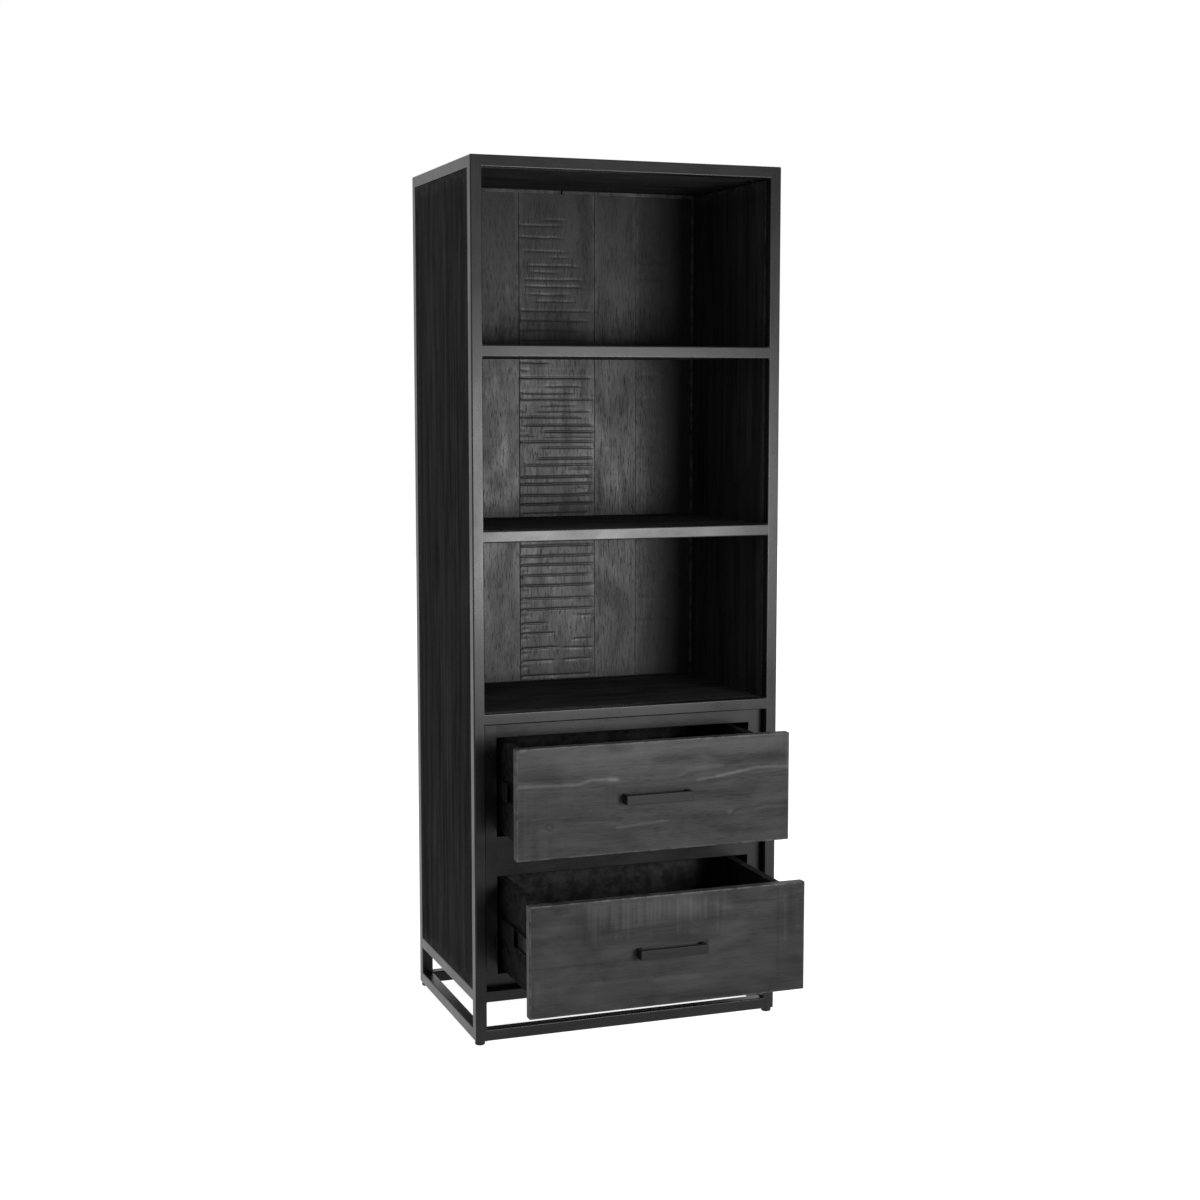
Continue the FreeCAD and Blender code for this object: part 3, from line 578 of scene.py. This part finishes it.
def board_shape(lo, hi, easing, fine=(), cells=(0.5, 0.5, 0.5), relief=None, fade=0.004):
    """A closed board as points, faces and attributes. easing is one radius, or one for each axis, where 0 leaves
    the ends of that axis square. fine lists the faces, such as "-Y", that carry a grid, and relief gives a height
    and a tone there."""
    lo, hi = np.array(lo, float), np.array(hi, float)
    easing = np.ones(3) * easing
    radius = easing.max()
    lines = [lines_between(lo[a], hi[a], easing[a], cells[a]) for a in range(3)]
    size = [len(line) for line in lines]
    skip = [RIM if easing[a] else 0 for a in range(3)]
    quads, polygons = [], []

    def code(index):
        return index[0] + size[0] * (index[1] + size[1] * index[2])

    for axis in range(3):
        u, v = [(1, 2), (2, 0), (0, 1)][axis]
        for end, sign in ((0, "-"), (size[axis] - 1, "+")):
            ring_u, ring_v = (skip[u], skip[v]) if easing[axis] else (0, 0)
            if (sign + "XYZ"[axis]) in fine or easing[axis]:
                iu, iv = np.meshgrid(np.arange(size[u] - 1), np.arange(size[v] - 1), indexing="ij")
                if (sign + "XYZ"[axis]) not in fine:
                    rim = (iu < skip[u]) | (iv < skip[v]) | (iu >= size[u] - 1 - skip[u]) | (iv >= size[v] - 1 - skip[v])
                    iu, iv = iu[rim], iv[rim]
                iu, iv = iu.ravel(), iv.ravel()
                corners = []
                for du, dv in ((0, 0), (1, 0), (1, 1), (0, 1)):
                    index = [None] * 3
                    index[axis], index[u], index[v] = np.full_like(iu, end), iu + du, iv + dv
                    corners.append(code(index))
                found = np.stack(corners, 1)
                quads.append(found if sign == "+" else found[:, ::-1])
            if (sign + "XYZ"[axis]) not in fine:
                a, b, c, d = ring_u, size[u] - 1 - ring_u, ring_v, size[v] - 1 - ring_v
                ring = [(i, c) for i in range(a, b)] + [(b, j) for j in range(c, d)]
                ring += [(i, d) for i in range(b, a, -1)] + [(a, j) for j in range(d, c, -1)]
                loop = []
                for i, j in ring:
                    index = [0, 0, 0]
                    index[axis], index[u], index[v] = end, i, j
                    loop.append(code(index))
                polygons.append(loop if sign == "+" else loop[::-1])
    quads = np.concatenate(quads)
    used = np.unique(np.concatenate([quads.ravel()] + [np.array(loop) for loop in polygons]))
    quads = np.searchsorted(used, quads)
    polygons = [np.searchsorted(used, loop) for loop in polygons]
    index = np.stack([used % size[0], used // size[0] % size[1], used // (size[0] * size[1])], 1)
    sharp = np.stack([lines[a][index[:, a]] for a in range(3)], 1)
    out = sharp - np.clip(sharp, lo + easing, hi - easing)
    reach = np.linalg.norm(out, axis=1, keepdims=True)
    points = sharp - out + out / np.maximum(reach, 1e-12) * radius * (reach > 1e-9)
    near = np.sort(np.where(easing > 0, np.minimum(sharp - lo, hi - sharp), 1.0), axis=1)
    to_edge = near[:, 1]
    marks = {"edge": np.clip(1.0 - to_edge / 0.004, 0.0, 1.0), "inner": np.zeros(len(used)),
             "mark": np.zeros(len(used))}
    for face in fine:
        axis = "XYZ".index(face[1])
        on = index[:, axis] == (0 if face[0] == "-" else size[axis] - 1)
        keep = np.clip((to_edge - radius) / fade, 0.0, 1.0)
        keep = np.where(on, keep * keep * (3 - 2 * keep), 0.0)
        marks["inner"] = np.maximum(marks["inner"], keep)
        if relief:
            height, tone = relief(face, points)
            points[:, axis] += height * keep * (-1.0 if face[0] == "-" else 1.0)
            marks["mark"] += tone * on
    return points, quads, polygons, marks


def board(name, *shapes, material=None):
    """One object from board shapes."""
    points, quads, polygons, marks, shift = [], [], [], {}, 0
    for verts, fours, rest, values in shapes:
        points.append(verts)
        quads.append(fours + shift)
        polygons += [polygon + shift for polygon in rest]
        for key, value in values.items():
            marks.setdefault(key, []).append(value)
        shift += len(verts)
    return object_from(name, np.concatenate(points), np.concatenate(quads), polygons,
                       {key: np.concatenate(value) for key, value in marks.items()}, material=material)


def solids(node):
    """The lowest and highest corners of each separate solid of a CAD node."""
    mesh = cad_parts[node].data
    points = np.empty(len(mesh.vertices) * 3, np.float32)
    mesh.vertices.foreach_get("co", points)
    corners = np.empty(len(mesh.loops), np.int32)
    mesh.loops.foreach_get("vertex_index", corners)
    places, index = np.unique(np.round(points.reshape(-1, 3).astype(float), 5), axis=0, return_inverse=True)
    triangles = index.ravel()[corners].reshape(-1, 3)
    label = np.arange(len(places))
    while True:
        spread = label.copy()
        np.minimum.at(spread, triangles.ravel(), np.repeat(label[triangles].min(axis=1), 3))
        spread = spread[spread]
        if (spread == label).all():
            break
        label = spread
    return [(places[label == part].min(axis=0), places[label == part].max(axis=0)) for part in np.unique(label)]


def eased_boards(node, material, body, easing=0.001):
    """Gives every plain board of a CAD node eased edges and a material."""
    made = board(node + "_eased", *[board_shape(lo, hi, easing) for lo, hi in solids(node)], material=material)
    return publish(made, body, [node])


def near_path(u, v, path):
    """The distance from points to a path of straight runs."""
    best = np.full(len(u), np.inf)
    for (u0, v0), (u1, v1) in zip(path[:-1], path[1:]):
        run = max(math.hypot(u1 - u0, v1 - v0), 1e-9)
        du, dv = (u1 - u0) / run, (v1 - v0) / run
        t = np.clip((u - u0) * du + (v - v0) * dv, 0.0, run)
        best = np.minimum(best, np.hypot(u - u0 - t * du, v - v0 - t * dv))
    return best


def with_marks(points, marks, u_axis=0, v_axis=2):
    """Height and tone of a face's marks at its points."""
    u, v = points[:, u_axis] * 1000.0, points[:, v_axis] * 1000.0
    height, tone = np.zeros(len(u)), np.zeros(len(u))
    for path, width, rise, shade in marks:
        path = np.array(path, float)
        lo, hi = path.min(axis=0) - 2.6 * width, path.max(axis=0) + 2.6 * width
        near = np.nonzero((u > lo[0]) & (u < hi[0]) & (v > lo[1]) & (v < hi[1]))[0]
        reach = np.exp(-(near_path(u[near], v[near], path) / width) ** 2)
        height[near] += reach * rise * 1e-4
        tone[near] += reach * shade
    return height, tone


def sawn(obj, material, along, face, seed, depth=1.0, spacing=1.0, start=0.45, waves=0.0005, tone=0.12,
         patch=(3.0, 3.0, 3.0)):
    """Runs the saw mark tree over a board."""
    look = bpy.context.scene.bookcase_wood
    normal = Vector(UNIT[face[1]]) * (-1.0 if face[0] == "-" else 1.0)
    obj = with_nodes(obj, sawn_tree(), **{
        "Along": UNIT[along], "Face": tuple(normal), "Depth": look.saw_depth * depth,
        "Spacing": look.saw_spacing * spacing, "Patch scale": patch, "Patch start": start, "Waves": waves,
        "Tone": tone, "Seed": float(seed), "Material": material})
    return obj


def dress(node, material):
    """Gives a CAD node its material."""
    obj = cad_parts[node]
    obj.data.materials.clear()
    obj.data.materials.append(material)


# ---------------------------------------------------------------------------
# operators
# ---------------------------------------------------------------------------
class BOOKCASE_OT_frame(bpy.types.Operator):
    """Make the welded tube frame and the face frame round the drawers"""
    bl_idname = "bookcase.tube_frame"
    bl_label = "Tube Frame"

    def execute(self, context):
        look = context.scene.bookcase_steel
        rails = {"X": ("top_rail_front", "top_rail_back", "shelf_rail_upper", "shelf_rail_lower", "drawer_rail",
                       "base_upper_rail_front", "base_upper_rail_back", "base_lower_rail_front",
                       "base_lower_rail_back"),
                 "Y": ("top_rail_sides", "base_upper_rail_sides", "base_lower_rail_sides")}
        for name in ("post_front_left", "post_front_right", "post_back_left", "post_back_right"):
            lo, hi = solids(name)[0]
            made = board(name + "_tube", board_shape(lo, hi, look.corner), material=steel("Z"))
            publish(made, CASE, [name])
        for along, names in rails.items():
            axis = "XYZ".index(along)
            grow = np.array(UNIT[along]) * look.corner * 0.96
            easing = look.corner * (1.0 - np.array(UNIT[along]))
            for name in names:
                shapes = [board_shape(lo - grow, hi + grow, easing) for lo, hi in solids(name)]
                publish(board(name + "_tube", *shapes, material=steel(along)), CASE, [name])
        corner = 0.0015
        for name, along in (("face_frame_stiles", "Z"), ("face_frame_top", "X"), ("face_frame_middle", "X"),
                            ("face_frame_bottom", "X")):
            rail = along == "X"
            grow = np.array(UNIT["X"]) * corner * 0.96 * rail
            easing = corner * (1.0 - np.array(UNIT[along]))
            shapes = [board_shape(lo - grow, hi + grow, easing) for lo, hi in solids(name)]
            publish(board(name + "_tube", *shapes, material=steel(along)), CASE, [name])
        dress("board_tabs", steel("Y"))
        return {"FINISHED"}


class BOOKCASE_OT_welds(bpy.types.Operator):
    """Lay the weld beads where the rails meet the posts"""
    bl_idname = "bookcase.welds"
    bl_label = "Weld Beads"

    def execute(self, context):
        look = context.scene.bookcase_steel
        runs = []
        for name in ("top_rail_front", "top_rail_back", "shelf_rail_upper", "shelf_rail_lower", "drawer_rail",
                     "base_upper_rail_front", "base_upper_rail_back", "base_lower_rail_front",
                     "base_lower_rail_back", "top_rail_sides", "base_upper_rail_sides", "base_lower_rail_sides"):
            for lo, hi in solids(name):
                along = 1 if name.endswith("sides") else 0
                across = 1 - along
                inside, outside = (lo, hi) if (lo + hi)[across] > 0 else (hi, lo)
                inside, outside = inside[across], outside[across] + (0.003 if outside[across] < inside[across] else -0.003)
                top = hi[2] if not name.startswith("top") else hi[2] - 0.004
                path = [(inside, top), (inside, lo[2]), (outside, lo[2])]
                if not name.startswith("top"):
                    path.insert(0, (outside, top))
                for end in (lo[along], hi[along]):
                    run = []
                    for place, height in path:
                        point = [0.0, 0.0, height]
                        point[along], point[across] = end, place
                        run.append(point)
                    runs.append(run)
        points = [point for run in runs for point in run]
        edges, start = [], 0
        for run in runs:
            edges += [(start + i, start + i + 1) for i in range(len(run) - 1)]
            start += len(run)
        mesh = bpy.data.meshes.new("weld_beads")
        mesh.from_pydata(points, edges, [])
        beads = bpy.data.objects.new("weld_beads", mesh)
        context.scene.collection.objects.link(beads)
        beads = with_nodes(beads, weld_tree(), Radius=look.weld, Step=0.0012,
                           Material=steel("Z", "Weld", gloss=0.3, roughness=0.4))
        publish(beads, CASE, ())
        return {"FINISHED"}


class BOOKCASE_OT_feet(bpy.types.Operator):
    """Finish the moulded feet"""
    bl_idname = "bookcase.feet"
    bl_label = "Feet"

    def execute(self, context):
        dress("feet", plain("Foot plastic", (0.006, 0.006, 0.006), 0.5, 0.2))
        return {"FINISHED"}


class BOOKCASE_OT_sides(bpy.types.Operator):
    """Make the side panels"""
    bl_idname = "bookcase.sides"
    bl_label = "Side Panels"

    def execute(self, context):
        easing = context.scene.bookcase_wood.easing
        for number, side in enumerate(("left", "right")):
            lo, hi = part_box("side_panel_" + side)
            made = board(side + "_side_board", board_shape(lo, hi, easing, ("-X", "+X"), (0.5, 0.01, 0.03)))
            made = sawn(made, wood("Z", 1 + number, 1.4, 1.5, 0.5, gloss=0.03, matt=0.2), "Y",
                        "-X" if number == 0 else "+X", 3 + number, 0.5, 1.2, waves=0.0004)
            publish(made, CASE, ["side_panel_" + side])
        return {"FINISHED"}


class BOOKCASE_OT_back(bpy.types.Operator):
    """Make the planks of the back"""
    bl_idname = "bookcase.back"
    bl_label = "Back Planks"

    def execute(self, context):
        look = context.scene.bookcase_wood
        chance = np.random.default_rng(12)
        grooves = []
        for height, left, right, depth in PLANK_GROOVES:
            steps = np.linspace(left, right, 5)
            path = [(x, height + 1.2 * w) for x, w in zip(steps, chance.normal(0, 0.45, 5))]
            # A dark line along each groove is painted shade in its hollow, the pale line 3 mm above it is painted
            # highlight on its upper lip, and the last entry cuts the groove itself.
            grooves += [(path, 2.0, 0, -0.62 * depth), (path[:3], 2.6, 0, -0.38 * depth)]
            grooves.append(([(x, z + 3.0) for x, z in path], 2.4, 0, 0.26 * depth))
            grooves.append((path, 2.2, -look.groove_depth * 1e4 * depth, 0))
            # Grooves that reach the left seam end in a dent with painted shade in it.
            if left < -100:
                grooves.append((((-107, height - 3), (-101, height)), 3.2, -8, -0.5 * depth))
        # The nicks are dents with painted shade in them.
        grooves += [(((-107, height), (-98, height)), 3.4, -8, -0.55) for height in PLANK_NICKS]
        # Planks 3 and 4, on the right, are darker: painted shade where the right side panel shades the back.
        brightness = {1: 0.8, 2: 0.8, 3: 0.76, 4: 0.64}
        for number in range(1, 5):
            marks = tuple(BACK_MARKS[number]) + (tuple(grooves) if number == 2 else ())
            lo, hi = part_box("back_board_%d" % number)
            shape = board_shape(lo, hi, look.easing if number < 3 else 0.0005, ("-Y",),
                                (0.009, 0.5, 0.0018 if number == 2 else 0.005),
                                lambda face, points, marks=marks: with_marks(points, marks), fade=0.002)
            made = sawn(board("back_plank_%d" % number, shape),
                        wood("Z", 10 + number, brightness[number], 0.6, 1.4, gloss=1.0, matt=-0.1), "Z", "-Y", 20 + number,
                        0.5, 1.5, 0.5, tone=0.08)
            publish(made, CASE, ["back_board_%d" % number])
        eased_boards("back_battens", wood("Z", 15, 1.1, gloss=0.8), CASE)
        return {"FINISHED"}


class BOOKCASE_OT_shelves(bpy.types.Operator):
    """Make the shelves, the top and the bottom board"""
    bl_idname = "bookcase.shelves"
    bl_label = "Shelves"

    def execute(self, context):
        easing = context.scene.bookcase_wood.easing
        for number, node in enumerate(("shelf_upper", "shelf_lower", "drawer_bay_top", "top_board",
                                       "bottom_board")):
            lo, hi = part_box(node)
            made = board(node + "_plank", board_shape(lo, hi, easing, ("+Z", "-Z"), (0.012, 0.02, 0.5)))
            brightness = 0.8 if node == "top_board" else 1.2
            made = sawn(made, wood("X", 20 + number, brightness, 1.2, gloss=0.1, matt=0.15), "X", "+Z", 30 + number,
                        0.6, 1.0)
            publish(made, CASE, [node])
        return {"FINISHED"}


class BOOKCASE_OT_liners(bpy.types.Operator):
    """Finish the inner walls of the drawer case and the dowels"""
    bl_idname = "bookcase.liners"
    bl_label = "Case Liners"

    def execute(self, context):
        for side in ("left", "right"):
            eased_boards("case_liner_" + side, wood("Z", 30, 0.6, gloss=0.1, matt=0.3), CASE)
        dress("shelf_dowels", plain("Dowel wood", (0.03, 0.028, 0.025), 0.7, 0.2))
        return {"FINISHED"}


class BOOKCASE_OT_drawers(bpy.types.Operator):
    """Make the drawer fronts and the drawer boxes"""
    bl_idname = "bookcase.drawers"
    bl_label = "Drawers"

    def execute(self, context):
        look = context.scene.bookcase_wood
        chance = np.random.default_rng(31)
        # Comb lines down the lower front: raised ones paler and sunk ones darker, painted highlight and painted shade
        # that follow the relief.
        combing = []
        for x in np.arange(-205.0, 128.0, 8.6):
            x += chance.normal(0, 1.6)
            tip, foot = 359.0 - chance.uniform(0, 14), 296.0 - chance.uniform(-22, 26)
            side = chance.choice((-1, 1))
            combing.append((((x, tip), (x + chance.normal(0, 0.6), foot)), 2.4, 2.4 * side, 0.13 * side))
        for number, which in enumerate(DRAWERS):
            body = which + "_drawer"
            node = body + "_front"
            marks = FRONT_MARKS_AND_SHEEN[which] + (tuple(combing) if which == "lower" else ())
            lo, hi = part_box(node)
            shape = board_shape(lo, hi, look.easing * 1.4, ("-Y",), (look.cell, 0.5, look.cell),
                                lambda face, points, marks=marks: with_marks(points, marks))
            made = sawn(board(node + "_plank", shape), wood("X", 40 + number, 1.0, 0.8, 1.3, gloss=0.7, matt=-0.03, wear=0.7),
                        "X", "-Y", 40 + number, 0.35, 1.3, 0.5, tone=0.08)
            publish(made, body, [node])
            for part, along in (("box_front", "X"), ("sides", "Y"), ("back", "X")):
                eased_boards("%s_%s" % (body, part), wood(along, 50 + number, 0.6, 0.8, 0.5, gloss=0.08, matt=0.25), body)
            eased_boards(body + "_bottom", wood("X", 55, 0.6, gloss=0.08, matt=0.3), body, 0.0005)
        return {"FINISHED"}


class BOOKCASE_OT_handles(bpy.types.Operator):
    """Make the bar handles"""
    bl_idname = "bookcase.handles"
    bl_label = "Handles"

    bar: FloatProperty(name="Bar thickness", description="Thickness of the handle's flat bar", default=0.01,
                       min=0.001, subtype="DISTANCE", unit="LENGTH")
    rounding: FloatProperty(name="Rounding", description="Radius of the bar's edges", default=0.0011, min=0.0,
                            subtype="DISTANCE", unit="LENGTH")

    def execute(self, context):
        for which in DRAWERS:
            node = which + "_drawer_handle"
            lo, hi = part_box(node)
            t = self.bar
            outline = [(lo[0], hi[1]), (lo[0], lo[1]), (hi[0], lo[1]), (hi[0], hi[1]), (hi[0] - t, hi[1]),
                       (hi[0] - t, lo[1] + t), (lo[0] + t, lo[1] + t), (lo[0] + t, hi[1])]
            count = len(outline)
            points = [(x, y, z) for z in (lo[2], hi[2]) for x, y in outline]
            faces = [[i, (i + 1) % count, count + (i + 1) % count, count + i] for i in range(count)]
            faces += [[7, 6, 1, 0], [6, 5, 2, 1], [5, 4, 3, 2]]
            faces += [[count + i for i in face[::-1]] for face in faces[-3:]]
            made = object_from(node + "_bar", points, faces,
                               material=steel("X", "Lacquered bar", gloss=0.13, roughness=0.4))
            bevel = made.modifiers.new("Rounding", "BEVEL")
            bevel.width, bevel.segments, bevel.limit_method, bevel.harden_normals = self.rounding, 3, "ANGLE", True
            publish(made, which + "_drawer", [node])
        return {"FINISHED"}


class BOOKCASE_OT_runners(bpy.types.Operator):
    """Finish the drawer runners"""
    bl_idname = "bookcase.runners"
    bl_label = "Runners"

    def execute(self, context):
        for which in DRAWERS:
            for part in ("case", "middle", "drawer"):
                dress("runner_%s_%s" % (part, which), steel("Y", "Runner steel", gloss=0.3, roughness=0.34))
        dress("case_runner_screws", plain("Black screw", (0.015, 0.015, 0.015), 0.38, 0.4))
        return {"FINISHED"}


class BOOKCASE_OT_screws(bpy.types.Operator):
    """Set the cross-headed screws of the back and the drawers"""
    bl_idname = "bookcase.screws"
    bl_label = "Screws"

    def head(self):
        """A domed head of radius 1 and height 1 with a cross recess, to be scaled."""
        turns = 24
        angles = [math.tau * i / turns for i in range(turns)]

        def cross(angle, arm=0.5, half=0.13):
            a = abs((angle + math.pi / 4) % (math.pi / 2) - math.pi / 4)
            return min(arm / math.cos(a), half / max(math.sin(a), 1e-6))

        rings = [[(math.cos(a) * r, math.sin(a) * r, z) for a in angles]
                 for r, z in ((1.0, -0.3), (1.0, 0.3), (0.9, 0.72), (0.7, 0.95))]
        for scale, z in ((1.0, 1.0), (0.8, 0.25)):
            rings.append([(math.cos(a) * cross(a) * scale, math.sin(a) * cross(a) * scale, z) for a in angles])
        points = [p for ring in rings for p in ring] + [(0.0, 0.0, 0.1), (0.0, 0.0, -0.3)]
        quads, triangles = [], []
        last, tip, base = (len(rings) - 1) * turns, len(points) - 2, len(points) - 1
        for i in range(turns):
            j = (i + 1) % turns
            quads += [(k + i, k + j, k + turns + j, k + turns + i) for k in range(0, last, turns)]
            triangles += [(last + i, last + j, tip), (j, i, base)]
        return object_from("screw_head", points, quads, triangles)

    def execute(self, context):
        head = self.head()
        jobs = [("back_screws", CASE, 0.8, 0.0002)] + [(w + "_drawer_screws", w + "_drawer", None, 0.0)
                                                        for w in DRAWERS]
        for node, body, height, proud in jobs:
            points, facing, size = [], [], []
            for lo, hi in solids(node):
                middle, extent = (lo + hi) / 2, hi - lo
                if extent[1] > extent[0]:
                    rise = 0.0008 if height else 0.0022
                    points.append((middle[0], hi[1] - (0.0 if height else rise), middle[2]))
                    facing.append((0.0, 1.0, 0.0))
                    radius = extent[0] / 2
                else:
                    side = 1.0 if middle[0] > 0 else -1.0
                    rise, radius = 0.0016, extent[2] / 2
                    points.append((side * np.abs([lo[0], hi[0]]).max() - side * rise, middle[1], middle[2]))
                    facing.append((side, 0.0, 0.0))
                size.append((radius, radius, rise))
            made = object_from(node + "_heads", points, (), (), {"facing": facing, "size": size}, smooth=False)
            made = with_nodes(made, screw_tree(), Head=head,
                              Material=plain("Black screw", (0.015, 0.015, 0.015), 0.38, 0.4))
            publish(made, body, [node])
        bpy.data.objects.remove(head)
        return {"FINISHED"}


class BOOKCASE_OT_stage(bpy.types.Operator):
    """Set up the floor, the camera and the lamps"""
    bl_idname = "bookcase.stage"
    bl_label = "Stage"

    def execute(self, context):
        scene = context.scene
        look = scene.bookcase_stage
        scene.view_settings.view_transform = "Standard"

        data = bpy.data.cameras.new("Camera")
        data.sensor_width = 36.0
        data.lens = look.lens
        data.clip_end = 100.0
        camera = bpy.data.objects.new("Camera", data)
        camera.location = (-1.4726, -3.9667, 1.3949)
        camera.rotation_euler = (math.radians(90.0 - 6.137), 0.0, math.radians(-19.972))
        scene.collection.objects.link(camera)
        scene.camera = camera

        lamp = bpy.data.lights.new("Soft box", "AREA")
        lamp.shape = "RECTANGLE"
        lamp.size, lamp.size_y = 0.95, 0.85
        lamp.energy = look.key_power
        box = bpy.data.objects.new("Soft box", lamp)
        box.location = (0.97, -3.1, 0.96)
        aim = Vector((0.0, 0.0, 0.95)) - Vector(box.location)
        box.rotation_euler = aim.to_track_quat("-Z", "Y").to_euler()
        scene.collection.objects.link(box)

        def by_ray(tree, white, room, light):
            """One value for rays that see the white background, one for reflections, one for rays that light."""
            path = add(tree, "ShaderNodeLightPath").outputs
            direct = calc(tree, "ADD", path["Is Camera Ray"], path["Is Transmission Ray"], clamp=True)
            value = calc(tree, "MULTIPLY_ADD", direct, white - light, light)
            return calc(tree, "MULTIPLY_ADD", path["Is Glossy Ray"], room - light, value)

        world = bpy.data.worlds.new("Studio")
        world.use_nodes = True
        scene.world = world
        tree = world.node_tree
        back = tree.nodes["Background"]
        back.inputs["Color"].default_value = (1.0, 1.0, 1.0, 1.0)
        tree.links.new(by_ray(tree, 1.0, look.room, look.fill), back.inputs["Strength"])

        size = 12.0
        made, tree, shader = new_material("Studio floor")
        shader.inputs["Base Color"].default_value = tuple(look.floor) + (1.0,)
        shader.inputs["Roughness"].default_value = 0.9
        shader.inputs["Specular IOR Level"].default_value = 0.0
        shader.inputs["Emission Color"].default_value = (1.0, 1.0, 1.0, 1.0)
        tree.links.new(by_ray(tree, 0.93, 0.93 * look.room, 0.0), shader.inputs["Emission Strength"])
        floor = object_from("Floor", [(-size, -size, 0), (size, -size, 0), (size, size, 0), (-size, size, 0)],
                            [(0, 1, 2, 3)], smooth=False, material=made)
        return {"FINISHED"}


class BOOKCASE_PT_panel(bpy.types.Panel):
    """Every step of the bookcase, in order"""
    bl_label = "Bookcase"
    bl_idname = "BOOKCASE_PT_panel"
    bl_space_type = "VIEW_3D"
    bl_region_type = "UI"
    bl_category = "Bookcase"

    def draw(self, context):
        for group in (context.scene.bookcase_wood, context.scene.bookcase_steel, context.scene.bookcase_stage):
            box = self.layout.box()
            for name in group.__annotations__:
                box.prop(group, name)
        for step in STEPS:
            self.layout.operator(step.bl_idname)


STEPS = (BOOKCASE_OT_stage, BOOKCASE_OT_frame, BOOKCASE_OT_welds, BOOKCASE_OT_feet, BOOKCASE_OT_sides,
         BOOKCASE_OT_back, BOOKCASE_OT_shelves, BOOKCASE_OT_liners, BOOKCASE_OT_drawers, BOOKCASE_OT_handles,
         BOOKCASE_OT_runners, BOOKCASE_OT_screws)
GROUPS = {"bookcase_wood": BookcaseWood, "bookcase_steel": BookcaseSteel, "bookcase_stage": BookcaseStage}


def register():
    for cls in (*GROUPS.values(), *STEPS, BOOKCASE_PT_panel):
        bpy.utils.register_class(cls)
    for name, cls in GROUPS.items():
        setattr(bpy.types.Scene, name, PointerProperty(type=cls))


def unregister():
    for name in GROUPS:
        delattr(bpy.types.Scene, name)
    for cls in (BOOKCASE_PT_panel, *reversed(STEPS), *reversed(tuple(GROUPS.values()))):
        bpy.utils.unregister_class(cls)


def main():
    register()
    bpy.ops.bookcase.stage()
    bpy.ops.bookcase.tube_frame()
    bpy.ops.bookcase.welds()
    bpy.ops.bookcase.feet()
    bpy.ops.bookcase.sides()
    bpy.ops.bookcase.back()
    bpy.ops.bookcase.shelves()
    bpy.ops.bookcase.liners()
    bpy.ops.bookcase.drawers()
    bpy.ops.bookcase.handles()
    bpy.ops.bookcase.runners()
    bpy.ops.bookcase.screws()


if __name__ == "__main__":
    main()
